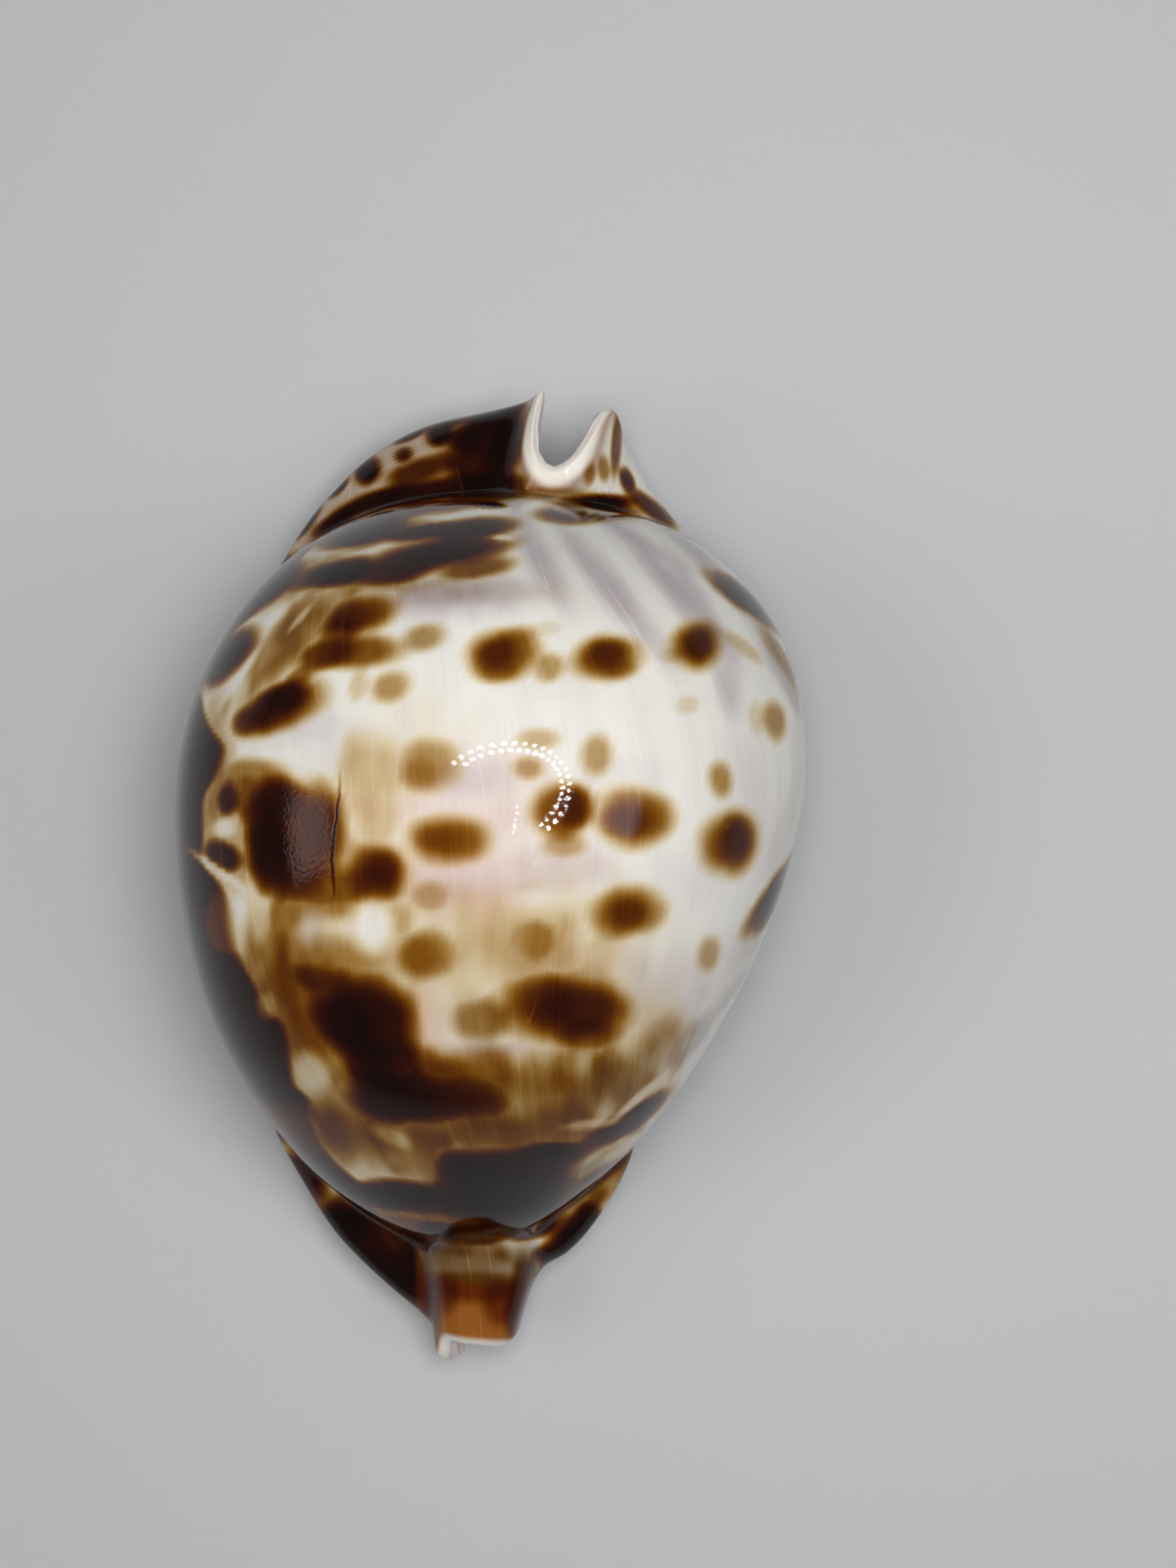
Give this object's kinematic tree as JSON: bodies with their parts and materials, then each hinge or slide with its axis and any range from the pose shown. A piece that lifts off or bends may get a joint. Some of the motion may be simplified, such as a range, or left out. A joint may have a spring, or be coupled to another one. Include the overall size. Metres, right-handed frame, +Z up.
{
  "type": "friends cowrie shell",
  "caption": "Egg-shaped spotted sea shell with a glossy domed back, a toothed slit along its flat base and a short spout at each end.",
  "frame": {"origin": "on the resting plane, below the middle of the shell's box", "axes": "+Z up through the back, +Y along the shell towards the blunt spire end, +X towards the columella side; the outer lip is on the -X side"},
  "size_m": [0.05, 0.0806, 0.039],
  "materials": {
    "cowrie_shell": "aragonite shell with a natural glossy enamel: cream ground with brown-black spots, dark margins and an off-white base"
  },
  "bodies": {
    "root": {"cowrie_shell": "cowrie_shell"}
  },
  "joints": []
}
